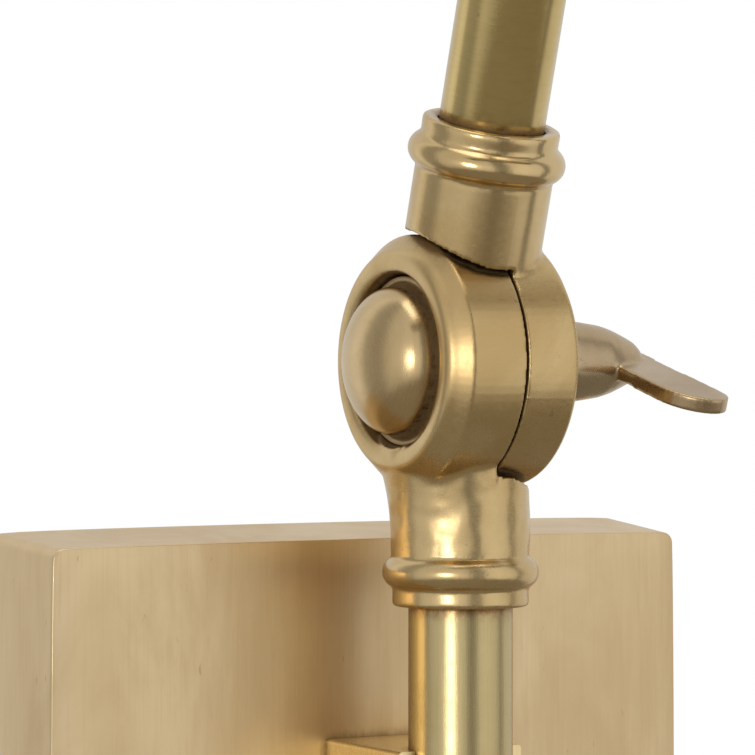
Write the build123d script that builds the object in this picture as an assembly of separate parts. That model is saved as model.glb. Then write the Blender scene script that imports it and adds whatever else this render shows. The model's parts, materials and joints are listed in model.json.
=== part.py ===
from build123d import *
import math
import os

# Wall-mounted picture light in satin brass, all sizes in millimetres.
# Frame: +Z up, the wall is the plane Y = 0 and the room is on the -Y side.
# The origin is the centre of the wall bracket on the wall.

# ---------------------------------------------------------------- driving sizes
# backplate (square box cover, a little wider at the wall than at its face)
plate_face = 113.0
plate_flare = 2.0
plate_depth = 19.5
plate_wall = 1.6
plate_bow = 0.35
plate_edge_radius = 0.9

# wall bracket and what is on it
bracket_length = 104.0
bracket_width = 24.0
bracket_thickness = 2.0
box_screw_spacing = 88.9
box_slot_width = 5.2
box_slot_length = 12.0
bracket_wire_hole = 12.0
stud_spacing = 64.0
stud_radius = 2.0
stud_proud = 6.0
cap_nut_radius = 5.0
cap_nut_skirt = 4.0
cap_nut_dome = 4.0
earth_screw_place = (-20.0, 0.0, 0.0)
earth_head_radius = 4.0
earth_head_height = 3.2
terminal_place = (19.0, 0.0)
terminal_size = (18.0, 11.0, 20.0)
terminal_way = 1.6
terminal_screw_radius = 1.65

# block that carries the post
block_width = 22.0
block_height = 51.5
block_edge_radius = 0.6
post_standoff = 22.5
wire_hole_radius = 4.0
block_screw_spacing = 34.0
block_screw_radius = 2.0
block_screw_depth = 9.0
block_screw_head_radius = 3.6
block_screw_head_height = 2.6
block_screw_key = 1.4

# tubes
tube_radius = 8.0
tube_wall = 1.2
post_below_block = 20.0
finial_plug = 7.0
finial_drop = 10.0
finial_bead_radius = 11.4
finial_bead = 4.2
arm_length = 250.0
stem_beyond_socket = 3.0

# knuckle castings
pivot_height = 85.0
disc_radius = 19.2
disc_rim = 9.3
disc_chamfer = 0.7
boss_height = 12.5
shoulder_radius = 18.4
shoulder_drop = 1.5
ridge_radius = 16.4
ridge_round = 0.4
recess_radius = 13.9
recess_floor = 8.6
socket_radius = 10.5
socket_beyond_disc = 18.2
socket_chamfer = 0.5
bead_radius = 12.0
bead_width = 5.0
bead_from_end = 5.2
tube_seat = 16.0
neck_bulge = 1.5
neck_start = 0.625
neck_beyond_disc = 8.5
swing_gap_bolt_half = 1.6
swing_gap_nut_half = 1.0
socket_shift = 1.2
face_gap = 0.4
bolt_radius = 3.0
dome_radius = 11.6
dome_skirt = 12.0
dome_apex = 18.4
wire_chamber_inner = 6.6
wire_chamber_outer = 13.0
wire_chamber_depth = 4.5
spring_washer = 0.8
washer_radius = 6.4

# wing nut
nut_base_radius = 6.4
nut_neck_radius = 5.6
nut_end = 31.0
nut_crown = 2.0
nut_base = 2.5
nut_hole_run_out = 0.5
bolt_end = 22.0
wing_inner = 24.6
wing_outer = 36.4
wing_span = 46.0
wing_thickness = 2.3

# rest angles
arm_tilt = 17.0
elbow_bend = 101.0
post_nut_turn = 18.0
elbow_nut_turn = 35.0

# shade: a half-round trough with straight skirts
shade_length = 300.0
shade_radius = 30.0
shade_skirt = 20.0
shade_sheet = 1.0
shade_hem = 1.3
reflector_sheet = 0.5
reflector_end_gap = 1.7
saddle_radius = 12.0
saddle_thickness = 8.0
saddle_neck = 10.5
saddle_bead = 1.6
saddle_bead_height = 3.0
stem_in_saddle = 5.0
insert_length = 8.0
nipple_radius = 5.0
nipple_bore = 3.5
nipple_proud = 1.0
nut_flats = 14.0
nut_thickness = 3.0
bracket_sheet = 1.6
bracket_foot = 16.0
ear_gap = 20.0
ear_radius = 10.5
holder_screw_offset = 9.2
holder_screw_radius = 1.3
holder_head_radius = 2.3
holder_head_height = 1.6
holder_screw_depth = 6.0
hole_run_out = 0.5
holder_radius = 11.5
holder_length = 30.0
lamp_cap_radius = 6.9
lamp_cap_length = 20.0
lamp_radius = 12.5
lamp_neck = 4.0
lamp_tip = 8.0
lamp_end_gap = 11.4

# fits and clearances
seat_fit = 0.04
running_fit = 0.06
sheet_fit = 0.1

# ---------------------------------------------------------------- places
plate_back = plate_face + 2 * plate_flare
socket_end = disc_radius + socket_beyond_disc
post_x = socket_shift
post_y = -(plate_depth + post_standoff)
post_bottom = -(block_height / 2 + post_below_block)
post_top = pivot_height - (socket_end - tube_seat)
nut_seat = disc_rim + spring_washer
shade_reach = socket_end + stem_beyond_socket + saddle_thickness + shade_radius
shade_inner = shade_radius - shade_sheet
reflector_inner = shade_inner - sheet_fit - reflector_sheet
foot_rise = math.sqrt(reflector_inner**2 - (bracket_foot / 2) ** 2) - sheet_fit

post_joint = Pos(post_x, post_y, pivot_height)
arm_frame = post_joint * Rot(X=arm_tilt)
elbow_joint = arm_frame * Pos(0, 0, arm_length)
stem_frame = elbow_joint * Rot(X=elbow_bend)
saddle_frame = stem_frame * Pos(0, 0, shade_reach)
shade_frame = saddle_frame * Rot(X=-(arm_tilt + elbow_bend))


# ---------------------------------------------------------------- helpers
def along_x(radius, x_low, x_high):
    """A round bar about the X axis."""
    bar = Cylinder(radius, x_high - x_low, rotation=(0, 90, 0))
    return Pos((x_low + x_high) / 2, 0, 0) * bar


def along_y(radius, y_low, y_high):
    """A round bar about the Y axis."""
    bar = Cylinder(radius, y_high - y_low, rotation=(90, 0, 0))
    return Pos(0, (y_low + y_high) / 2, 0) * bar


def along_z(radius, z_low, z_high):
    """A round bar about the Z axis."""
    return Pos(0, 0, (z_low + z_high) / 2) * Cylinder(radius, z_high - z_low)


def block(x, y, z):
    """A box between the given pairs of limits."""
    centre = [(pair[0] + pair[1]) / 2 for pair in (x, y, z)]
    return Pos(*centre) * Box(x[1] - x[0], y[1] - y[0], z[1] - z[0])


def turned_about_x(points):
    """A turned piece from its outline of (x, radius) points."""
    return revolve(make_face(Polyline(*points, close=True)), Axis.X, 360)


def turned_about_z(points):
    """A turned piece from its outline of (radius, z) points."""
    outline = Plane.XZ * make_face(Polyline(*points, close=True))
    return revolve(outline, Axis.Z, 360)


def beaded_socket(reach):
    """The round end of a casting about Z, with its bead and collar, up to z = reach."""
    barrel = turned_about_z(
        [
            (0, reach),
            (socket_radius, reach),
            (socket_radius, socket_end - socket_chamfer),
            (socket_radius - socket_chamfer, socket_end),
            (0, socket_end),
        ]
    )
    bead = Torus(bead_radius - bead_width / 2, bead_width / 2)
    return barrel + Pos(0, 0, socket_end - bead_from_end) * bead


def socket_bores():
    """The tube seat and the wire passage of a casting whose socket points along +Z."""
    seat = along_z(tube_radius + seat_fit, socket_end - tube_seat, socket_end + 1)
    passage_top = socket_end - tube_seat + 1
    passage = along_z(wire_hole_radius, wire_chamber_inner + 1.5, passage_top)
    return seat + passage


def wire_chamber():
    """The ring-shaped room for the leads, open at the parting plane on the -X side."""
    ring = along_x(wire_chamber_outer, -wire_chamber_depth, 0)
    return ring - along_x(wire_chamber_inner, -wire_chamber_depth - 1, 1)


def bolt_half():
    """Casting that holds the bolt's domed head; its disc is at -X, its socket along -Z."""
    parting = -face_gap / 2
    disc = turned_about_x(
        [
            (parting, 0),
            (parting, disc_radius),
            (-disc_rim, disc_radius),
            (-boss_height + shoulder_drop, shoulder_radius),
            (-boss_height + ridge_round, ridge_radius),
            (-boss_height, ridge_radius - 2 * ridge_round),
            (-boss_height, recess_radius + ridge_round),
            (-boss_height + ridge_round, recess_radius),
            (-recess_floor, recess_radius),
            (-recess_floor, 0),
        ]
    )
    socket = Rot(X=180) * beaded_socket(disc_radius / 2)
    wide = Ellipse(socket_radius + neck_bulge, socket_radius)
    neck_wide = Pos(-neck_bulge, 0, -neck_start * disc_radius) * wide
    neck_round = Pos(0, 0, -(disc_radius + neck_beyond_disc)) * Circle(socket_radius)
    bolt_side = block((-disc_radius, parting), (-disc_radius, disc_radius), (-socket_end, 0))
    neck = loft([neck_wide, neck_round]) & bolt_side
    swing = along_x(disc_radius + swing_gap_bolt_half, parting, 3 * socket_radius)
    body = disc + (socket - swing) + neck
    body -= along_x(recess_radius, -boss_height - 3, -recess_floor)
    body -= Rot(X=180) * socket_bores()
    body -= Pos(parting, 0, 0) * wire_chamber()
    return body - along_x(bolt_radius + seat_fit, -boss_height, 1)


def nut_half():
    """Casting on the nut side; its disc is at +X, its socket along +Z, set over towards -X."""
    parting = face_gap / 2
    disc = turned_about_x(
        [
            (parting, 0),
            (parting, disc_radius),
            (disc_rim - disc_chamfer, disc_radius),
            (disc_rim, disc_radius - disc_chamfer),
            (disc_rim, 0),
        ]
    )
    aside = Pos(-socket_shift, 0, 0)
    socket = aside * beaded_socket(disc_radius / 2)
    swing = along_x(disc_radius + swing_gap_nut_half, -3 * socket_radius, parting)
    outer_face = block((disc_rim, 3 * socket_radius), (-disc_radius, disc_radius), (-1, disc_radius * 0.8))
    body = disc + (socket - swing - outer_face)
    body -= aside * socket_bores()
    body -= Pos(parting, 0, 0) * (Rot(Z=180) * wire_chamber())
    return body - along_x(bolt_radius + running_fit, -1, disc_rim + 1)


def pivot_bolt():
    """Bolt with a large domed head that sits in the recess of the bolt half."""
    dome = Pos(-dome_skirt, 0, 0) * Rot(Y=-90) * dome_cap(dome_radius, dome_apex - dome_skirt)
    skirt = along_x(dome_radius, -dome_skirt, -recess_floor)
    shank = along_x(bolt_radius, -recess_floor, bolt_end)
    return dome + skirt + shank


def dome_cap(radius, height):
    """An elliptical dome about Z that stands on z = 0."""
    rim = (radius, 0)
    crown = (0, height)
    arc = EllipticalCenterArc((0, 0), radius, height, start_angle=0, arc_size=90)
    outline = make_face([arc, Line(crown, (0, 0)), Line((0, 0), rim)])
    return revolve(Plane.XZ * outline, Axis.Z, 360)


def ring_about_x(inner, outer, x_low, x_high):
    """A flat washer about the X axis."""
    return along_x(outer, x_low, x_high) - along_x(inner, x_low - 1, x_high + 1)


def wing_nut():
    """Cast wing nut on +X, its two wings lying along +Y and -Y."""
    hub = turned_about_x(
        [
            (nut_seat, 0),
            (nut_seat, nut_base_radius),
            (nut_seat + nut_base, nut_base_radius),
            (wing_inner, nut_neck_radius),
            (nut_end - nut_crown, nut_neck_radius * 0.6),
            (nut_end, 0),
        ]
    )
    half = wing_span / 2
    outline = Spline(
        (wing_inner, nut_neck_radius),
        (wing_inner + 0.6, half * 0.72),
        (wing_inner + 3.4, half * 0.96),
        (wing_outer - 2.4, half),
        (wing_outer, half * 0.78),
        (wing_outer - 0.3, half * 0.3),
        (wing_outer - 0.8, 0),
    )
    closing = Polyline((wing_outer - 0.8, 0), (nut_end - 8, 0), (wing_inner, nut_neck_radius))
    sheet = extrude(make_face([outline, closing]), amount=wing_thickness / 2, both=True)
    nut = hub + sheet + Rot(X=180) * sheet
    return nut - along_x(bolt_radius + running_fit, nut_seat - 1, bolt_end + nut_hole_run_out)


def tube(z_low, z_high):
    """A length of the brass tube about Z."""
    return along_z(tube_radius, z_low, z_high) - along_z(tube_radius - tube_wall, z_low - 1, z_high + 1)


# ---------------------------------------------------------------- wall group
def plate_outline(side):
    """Square outline with slightly bowed sides, in the XZ plane."""
    half = side / 2
    out = half + plate_bow
    arcs = [
        ThreePointArc((-half, half), (0, out), (half, half)),
        ThreePointArc((half, half), (out, 0), (half, -half)),
        ThreePointArc((half, -half), (0, -out), (-half, -half)),
        ThreePointArc((-half, -half), (-out, 0), (-half, half)),
    ]
    return make_face(arcs)


def at_depth(y, shape):
    """Stand a flat XY shape up in the XZ plane at the given y."""
    return Pos(0, y, 0) * Rot(X=90) * shape


def backplate():
    outer = loft([at_depth(0, plate_outline(plate_back)), at_depth(-plate_depth, plate_outline(plate_face))])
    face_edges = outer.edges().group_by(Axis.Y)[0]
    outer = fillet(face_edges, plate_edge_radius)
    draft = plate_flare * plate_wall / plate_depth
    inner_back = plate_outline(plate_back - 2 * plate_wall + 2 * draft)
    inner_face = plate_outline(plate_face - 2 * plate_wall + 2 * draft)
    inner = loft([at_depth(plate_wall, inner_back), at_depth(-(plate_depth - plate_wall), inner_face)])
    shell = outer - inner
    through = (-plate_depth - 1, -plate_depth + plate_wall + 1)
    for side in (-1, 1):
        shell -= Pos(side * stud_spacing / 2, 0, 0) * along_y(stud_radius + seat_fit, *through)
        screw_hole = along_y(block_screw_radius + seat_fit, *through)
        shell -= Pos(post_x, 0, side * block_screw_spacing / 2) * screw_hole
    return shell - Pos(post_x, 0, 0) * along_y(wire_hole_radius, *through)


def wall_bracket():
    half = bracket_length / 2
    strap = block((-half, half), (-bracket_thickness, 0), (-bracket_width / 2, bracket_width / 2))
    corner_edges = strap.edges().filter_by(Axis.Y)
    strap = fillet(corner_edges, bracket_width / 6)
    reach = (box_slot_length - box_slot_width) / 2
    for side in (-1, 1):
        centre = side * box_screw_spacing / 2
        for end in (-1, 1):
            strap -= Pos(centre + end * reach, 0, 0) * along_y(box_slot_width / 2, -9, 9)
        width = box_slot_width / 2
        strap -= block((centre - reach, centre + reach), (-9, 9), (-width, width))
        strap -= Pos(side * stud_spacing / 2, 0, 0) * along_y(stud_radius, -9, 9)
    strap -= along_y(bracket_wire_hole / 2, -9, 9)
    return strap - Pos(*earth_screw_place) * along_y(stud_radius, -9, 9)


def plate_studs():
    stud = along_y(stud_radius, -(plate_depth + stud_proud), -0.2)
    return [Pos(side * stud_spacing / 2, 0, 0) * stud for side in (-1, 1)]


def plate_cap_nuts():
    top = -(plate_depth + cap_nut_skirt)
    dome = Pos(0, top, 0) * Rot(X=90) * dome_cap(cap_nut_radius, cap_nut_dome)
    nut = along_y(cap_nut_radius, top, -plate_depth) + dome
    nut -= along_y(stud_radius + seat_fit, -(plate_depth + stud_proud + hole_run_out), -plate_depth + 1)
    return [Pos(side * stud_spacing / 2, 0, 0) * nut for side in (-1, 1)]


def earth_screw():
    top = -bracket_thickness - earth_head_height
    head = along_y(earth_head_radius, top, -bracket_thickness)
    head -= block((-0.5, 0.5), (top - 1, top + 1), (-earth_head_radius - 1, earth_head_radius + 1))
    return Pos(*earth_screw_place) * (head + along_y(stud_radius, -bracket_thickness - 0.5, 0))


def terminal_block():
    wide, deep, tall = terminal_size
    front = -bracket_thickness - deep
    body = block((-wide / 2, wide / 2), (front, -bracket_thickness), (-tall / 2, tall / 2))
    for row in (-1, 0, 1):
        place = Pos(0, 0, row * tall / 3)
        body -= place * along_x(terminal_way, -wide, wide)
        for side in (-1, 1):
            hole = along_y(terminal_screw_radius + seat_fit, front - 1, front + deep / 2)
            body -= place * Pos(side * wide / 4, 0, 0) * hole
    return Pos(terminal_place[0], 0, terminal_place[1]) * body


def terminal_screws():
    wide, deep, tall = terminal_size
    front = -bracket_thickness - deep
    screw = along_y(terminal_screw_radius, front + 1, front + deep / 2)
    screw -= block((-0.3, 0.3), (front + 0.5, front + 1.8), (-3, 3))
    places = [(side * wide / 4, row * tall / 3) for side in (-1, 1) for row in (-1, 0, 1)]
    return [Pos(terminal_place[0] + x, 0, terminal_place[1] + z) * screw for x, z in places]


def arm_block():
    half_width = block_width / 2
    half_height = block_height / 2
    body = block((-half_width, half_width), (post_y, -plate_depth), (-half_height, half_height))
    side_edges = body.edges().filter_by(Axis.Y)
    body = fillet(side_edges, block_edge_radius)
    body -= Pos(0, post_y, 0) * along_z(tube_radius + seat_fit, -block_height, block_height)
    body -= along_y(wire_hole_radius, post_y, 0)
    for side in (-1, 1):
        hole = along_y(block_screw_radius, -plate_depth - block_screw_depth - hole_run_out, 0)
        body -= Pos(0, 0, side * block_screw_spacing / 2) * hole
    return Pos(post_x, 0, 0) * body


def block_screws():
    inside = -plate_depth + plate_wall
    top = inside + block_screw_head_height
    key = (-block_screw_key, block_screw_key)
    socket = block(key, (top - block_screw_key, top + 1), key)
    head = along_y(block_screw_head_radius, inside, top) - socket
    screw = head + along_y(block_screw_radius, -plate_depth - block_screw_depth, inside)
    return [Pos(post_x, 0, side * block_screw_spacing / 2) * screw for side in (-1, 1)]


def post_tube():
    post = tube(post_bottom, post_top) - along_y(wire_hole_radius, 0, 20)
    return Pos(post_x, post_y, 0) * post


def post_finial():
    plug = tube_radius - tube_wall - seat_fit
    turned = turned_about_z(
        [
            (0, finial_plug),
            (plug, finial_plug),
            (plug, 0),
            (socket_radius - socket_chamfer, 0),
            (socket_radius, -socket_chamfer),
            (socket_radius, -0.3 * finial_drop),
            (0.8 * socket_radius, -0.5 * finial_drop),
            (0.6 * socket_radius, -0.9 * finial_drop),
            (0, -finial_drop),
        ]
    )
    bead = Pos(0, 0, -0.3 * finial_drop) * Torus(finial_bead_radius - finial_bead / 2, finial_bead / 2)
    return Pos(post_x, post_y, post_bottom) * (turned + bead)


# ---------------------------------------------------------------- shade group
def trough(radius, skirt, length):
    """Solid trough section: a half-round top with straight sides, along X."""
    top = along_x(radius, -length / 2, length / 2)
    upper_half = block((-length, length), (-2 * radius, 2 * radius), (0, 2 * radius))
    sides = block((-length / 2, length / 2), (-radius, radius), (-skirt, 0))
    return (top & upper_half) + sides


def nipple_way(radius):
    """The hole for the nipple through the shade, along the stem."""
    way = along_z(radius, -2 * shade_radius, 0)
    return Rot(X=arm_tilt + elbow_bend) * way


def shade_shell():
    outer = trough(shade_radius, shade_skirt, shade_length)
    inner = trough(shade_inner, shade_skirt + 1, shade_length + 2)
    shell = outer - inner
    for side in (-1, 1):
        hem_y = side * (shade_radius - shade_hem)
        hem = Pos(0, hem_y, -shade_skirt) * along_x(shade_hem, -shade_length / 2, shade_length / 2)
        shell += hem
    return shade_frame * (shell - nipple_way(nipple_radius + seat_fit))


def shade_reflector():
    length = shade_length - 2 * shade_sheet - 2 * reflector_end_gap
    outer = trough(shade_inner - sheet_fit, shade_skirt - reflector_end_gap, length)
    inner = trough(reflector_inner, shade_skirt, length + 2)
    return shade_frame * (outer - inner - nipple_way(nipple_radius + seat_fit))


def shade_end_cap(side):
    plate = trough(shade_inner - seat_fit, shade_skirt, shade_sheet)
    notch = 2 * shade_hem
    for hand in (-1, 1):
        hem_y = hand * (shade_radius - shade_hem)
        plate -= Pos(0, hem_y, -shade_skirt) * along_x(shade_hem + seat_fit, -notch, notch)
    place = side * (shade_length / 2 - shade_sheet / 2)
    return shade_frame * Pos(place, 0, 0) * plate


def shade_saddle():
    low = -(shade_radius + saddle_thickness)
    collar = turned_about_z(
        [
            (0, low),
            (saddle_neck - socket_chamfer, low),
            (saddle_neck, low + socket_chamfer),
            (saddle_neck, low + saddle_bead_height),
            (saddle_radius, low + stem_in_saddle),
            (saddle_radius, -shade_radius / 2),
            (0, -shade_radius / 2),
        ]
    )
    bead = Pos(0, 0, low + saddle_bead_height) * Torus(saddle_neck - 0.9, saddle_bead)
    body = collar + bead
    body -= along_x(shade_radius, -2 * saddle_radius, 2 * saddle_radius)
    body -= along_z(tube_radius + seat_fit, low - 1, low + stem_in_saddle)
    body -= along_z(nipple_radius + seat_fit, low, 0)
    return saddle_frame * body


def shade_stem():
    low = socket_end - tube_seat
    return stem_frame * tube(low, low + tube_seat + stem_beyond_socket + stem_in_saddle)


def stem_insert():
    high = -(shade_radius + saddle_thickness) + stem_in_saddle
    low = high - insert_length
    sleeve = along_z(tube_radius - tube_wall - seat_fit, low, high)
    return saddle_frame * (sleeve - along_z(nipple_radius, low - 1, high + 1))


def stem_nipple():
    low = -(shade_radius + saddle_thickness) + stem_in_saddle - insert_length
    high = -foot_rise + bracket_sheet + nut_thickness + nipple_proud
    pipe = along_z(nipple_radius, low, high) - along_z(nipple_bore, low - 1, high + 1)
    return saddle_frame * pipe


def stem_nut():
    low = -foot_rise + bracket_sheet
    hexagon = extrude(RegularPolygon(nut_flats / 2, 6, major_radius=False), amount=nut_thickness)
    return saddle_frame * (Pos(0, 0, low) * hexagon - along_z(nipple_radius, low - 1, 0))


def lamp_bracket():
    half = bracket_foot / 2
    low = -foot_rise
    outside = ear_gap / 2 + bracket_sheet
    body = block((-outside, outside), (-half, half), (low, low + bracket_sheet))
    for side in (-1, 1):
        limits = sorted((side * ear_gap / 2, side * outside))
        body += block(limits, (-half, half), (low, 0)) + along_x(ear_radius, *limits)
    body -= along_z(nipple_radius + seat_fit, low - 1, low + bracket_sheet + 1)
    for hand in (-1, 1):
        body -= Pos(0, hand * holder_screw_offset, 0) * along_x(holder_screw_radius + seat_fit, -99, 99)
    return saddle_frame * body


def lampholder(side):
    low = ear_gap / 2 + bracket_sheet
    body = along_x(holder_radius, low, low + holder_length)
    body -= along_x(lamp_cap_radius + sheet_fit, low + holder_length - lamp_cap_length - 1, 99)
    for hand in (-1, 1):
        hole = along_x(holder_screw_radius + seat_fit, 0, low + holder_screw_depth + hole_run_out)
        body -= Pos(0, hand * holder_screw_offset, 0) * hole
    return saddle_frame * (Rot(Z=180) * body if side < 0 else body)


def lampholder_screws():
    inside = ear_gap / 2
    head = along_x(holder_head_radius, inside - holder_head_height, inside)
    screw = head + along_x(holder_screw_radius, inside, inside + bracket_sheet + holder_screw_depth)
    pairs = [Pos(0, hand * holder_screw_offset, 0) * screw for hand in (-1, 1)]
    return [saddle_frame * Rot(Z=turn) * screw_pair for turn in (0, 180) for screw_pair in pairs]


def lamp(side):
    mouth = ear_gap / 2 + bracket_sheet + holder_length
    foot = mouth - lamp_cap_length
    shoulder = mouth + lamp_neck
    end = shade_length / 2 - shade_sheet - lamp_end_gap
    glass = turned_about_x(
        [
            (foot, 0),
            (foot, 0.7 * lamp_cap_radius),
            (foot + 0.3 * lamp_cap_radius, lamp_cap_radius),
            (mouth, lamp_cap_radius),
            (mouth + lamp_neck / 4, 1.2 * lamp_cap_radius),
            (shoulder, 0.92 * lamp_radius),
            (shoulder + lamp_neck / 2, lamp_radius),
            (end - lamp_tip, lamp_radius),
            (end - 0.4 * lamp_tip, 0.76 * lamp_radius),
            (end, 0.36 * lamp_radius),
            (end, 0),
        ]
    )
    return saddle_frame * (Rot(Z=180) * glass if side < 0 else glass)


# ---------------------------------------------------------------- assembly
def arm_tube():
    """The arm, between the two nut-side castings and in line with their sockets."""
    seat_start = socket_end - tube_seat
    return arm_frame * Pos(-socket_shift, 0, 0) * tube(seat_start, arm_length - seat_start)


def knuckle_hardware(place, prefix, nut_turn):
    """Bolt, washers and wing nut of one knuckle."""
    friction = ring_about_x(bolt_radius + seat_fit, washer_radius, -face_gap / 2, face_gap / 2)
    spring = ring_about_x(bolt_radius + seat_fit, washer_radius, disc_rim, nut_seat)
    return {
        prefix + "_pivot_bolt": place * pivot_bolt(),
        prefix + "_friction_washer": place * friction,
        prefix + "_spring_washer": place * spring,
        prefix + "_wing_nut": place * Rot(X=nut_turn) * wing_nut(),
    }


nodes = {
    "backplate": backplate(),
    "wall_bracket": wall_bracket(),
    "plate_studs": plate_studs(),
    "plate_cap_nuts": plate_cap_nuts(),
    "earth_screw": earth_screw(),
    "terminal_block": terminal_block(),
    "terminal_screws": terminal_screws(),
    "arm_block": arm_block(),
    "block_screws": block_screws(),
    "post_tube": post_tube(),
    "post_finial": post_finial(),
    "post_knuckle": post_joint * bolt_half(),
    "arm_lower_knuckle": arm_frame * nut_half(),
    "arm_tube": arm_tube(),
    "arm_upper_knuckle": elbow_joint * Rot(X=180) * nut_half(),
    "shade_knuckle": stem_frame * Rot(X=180) * bolt_half(),
    "shade_stem": shade_stem(),
    "stem_insert": stem_insert(),
    "stem_nipple": stem_nipple(),
    "stem_nut": stem_nut(),
    "shade_saddle": shade_saddle(),
    "shade_shell": shade_shell(),
    "shade_reflector": shade_reflector(),
    "shade_end_cap_left": shade_end_cap(-1),
    "shade_end_cap_right": shade_end_cap(1),
    "lamp_bracket": lamp_bracket(),
    "lampholder_left": lampholder(-1),
    "lampholder_right": lampholder(1),
    "lampholder_screws": lampholder_screws(),
    "lamp_left": lamp(-1),
    "lamp_right": lamp(1),
}
nodes.update(knuckle_hardware(post_joint, "post", post_nut_turn))
nodes.update(knuckle_hardware(elbow_joint, "elbow", elbow_nut_turn))

os.makedirs("parts", exist_ok=True)
for name, shape in nodes.items():
    solids = shape if isinstance(shape, list) else [shape]
    whole = Compound(children=[solid for piece in solids for solid in piece.solids()])
    export_step(whole, f"parts/{name}.step")
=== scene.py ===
import bpy
import json
import math
from mathutils import Matrix, Vector


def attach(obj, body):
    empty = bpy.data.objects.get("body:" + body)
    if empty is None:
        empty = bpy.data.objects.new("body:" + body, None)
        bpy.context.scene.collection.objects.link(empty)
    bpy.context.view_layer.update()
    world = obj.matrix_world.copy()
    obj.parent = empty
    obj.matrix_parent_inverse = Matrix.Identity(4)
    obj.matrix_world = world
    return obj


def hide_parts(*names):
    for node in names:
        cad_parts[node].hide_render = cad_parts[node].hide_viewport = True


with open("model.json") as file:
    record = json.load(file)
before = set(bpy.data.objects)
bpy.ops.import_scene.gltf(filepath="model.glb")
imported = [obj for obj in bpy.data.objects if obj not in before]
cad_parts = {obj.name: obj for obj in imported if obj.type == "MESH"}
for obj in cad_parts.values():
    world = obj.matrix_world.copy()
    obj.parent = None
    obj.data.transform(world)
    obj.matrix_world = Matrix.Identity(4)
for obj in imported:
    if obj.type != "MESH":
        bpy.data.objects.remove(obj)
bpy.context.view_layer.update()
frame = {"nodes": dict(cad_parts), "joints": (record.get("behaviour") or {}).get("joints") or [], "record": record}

# ---------------------------------------------------------------- places from the frame
MM = 0.001
joints = {joint["name"]: joint for joint in frame["joints"]}
post_pivot = Vector(joints["arm_tilt"]["pos_m"])
elbow_pivot = Vector(joints["shade_tilt"]["pos_m"])
arm_axis = (elbow_pivot - post_pivot).normalized()
arm_lean = math.atan2(-arm_axis.y, arm_axis.z)
arm_length = (elbow_pivot - post_pivot).length / MM
ELBOW_BEND = 101.0  # degrees from the arm to the shade's stem, at rest


# ---------------------------------------------------------------- modelling helpers
def deselect():
    if bpy.context.object and bpy.context.object.mode != "OBJECT":
        bpy.ops.object.mode_set(mode="OBJECT")
    bpy.ops.object.select_all(action="DESELECT")


def pick(piece):
    """Make one piece the only selected and the active one."""
    deselect()
    piece.select_set(True)
    bpy.context.view_layer.objects.active = piece


def named(name):
    piece = bpy.context.object
    piece.name = name
    piece.data.name = name
    return piece


def freeze(piece):
    """Put the piece's place and turn into its mesh."""
    pick(piece)
    bpy.ops.object.transform_apply(location=True, rotation=True, scale=True)


def apply_modifier(piece, kind, **settings):
    pick(piece)
    modifier = piece.modifiers.new(kind.lower(), kind)
    for key, value in settings.items():
        setattr(modifier, key, value)
    bpy.ops.object.modifier_apply(modifier=modifier.name)


def select_where(piece, kind, wanted):
    """Enter edit mode with only the vertices, edges or polygons selected whose points, in mm, wanted() accepts."""
    pick(piece)
    for part in (piece.data.vertices, piece.data.edges, piece.data.polygons):
        part.foreach_set("select", [False] * len(part))
    spots = [vertex.co / MM for vertex in piece.data.vertices]
    for item in getattr(piece.data, kind):
        item.select = wanted([spots[item.index]] if kind == "vertices" else [spots[i] for i in item.vertices])
    bpy.ops.object.mode_set(mode="EDIT")
    bpy.ops.mesh.select_mode(type={"vertices": "VERT", "edges": "EDGE", "polygons": "FACE"}[kind])


def smooth(piece, degrees):
    pick(piece)
    bpy.ops.object.shade_smooth_by_angle(angle=math.radians(degrees))


POLE_RADIUS = 1e-4


def turned(name, outline, segments=96):
    """Turn a piece about Z from (radius, z) points in mm, ring by ring; a radius of 0 ends in a pole."""
    deselect()
    radius, height = outline[0]
    bpy.ops.mesh.primitive_circle_add(
        vertices=segments, radius=radius * MM, fill_type="NGON", location=(0, 0, height * MM)
    )
    piece = named(name)
    bpy.ops.object.transform_apply(location=True, rotation=False, scale=False)
    bpy.ops.object.mode_set(mode="EDIT")
    bpy.ops.mesh.select_all(action="SELECT")
    for next_radius, next_height in outline[1:]:
        next_radius = max(next_radius, POLE_RADIUS)
        bpy.ops.mesh.extrude_region_move(
            TRANSFORM_OT_translate={"value": (0, 0, (next_height - height) * MM)}
        )
        share = next_radius / radius
        bpy.ops.transform.resize(value=(share, share, 1), center_override=(0, 0, next_height * MM))
        radius, height = next_radius, next_height
    bpy.ops.mesh.select_all(action="SELECT")
    bpy.ops.mesh.normals_make_consistent(inside=False)
    bpy.ops.object.mode_set(mode="OBJECT")
    return piece


def arc(centre, radius, start, end, steps):
    """(radius, z) points of an arc, angles in degrees from the outward direction."""
    points = []
    for step in range(steps + 1):
        angle = math.radians(start + (end - start) * step / steps)
        points.append((centre[0] + radius * math.cos(angle), centre[1] + radius * math.sin(angle)))
    return points


def place(piece, matrix):
    """Move a piece made at the origin to its place, in its mesh."""
    piece.matrix_world = matrix @ piece.matrix_world
    freeze(piece)
    return piece


def join_solid(piece, other, operation="UNION"):
    """Join or cut with another piece, which is used up."""
    apply_modifier(piece, "BOOLEAN", object=other, operation=operation, solver="EXACT")
    bpy.data.objects.remove(other)
    return piece


def about_x(degrees):
    return Matrix.Rotation(math.radians(degrees), 4, "X")


TO_MINUS_X = Matrix.Rotation(math.radians(-90), 4, "Y")
TO_PLUS_X = Matrix.Rotation(math.radians(90), 4, "Y")
UPSIDE_DOWN = about_x(180)


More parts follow.
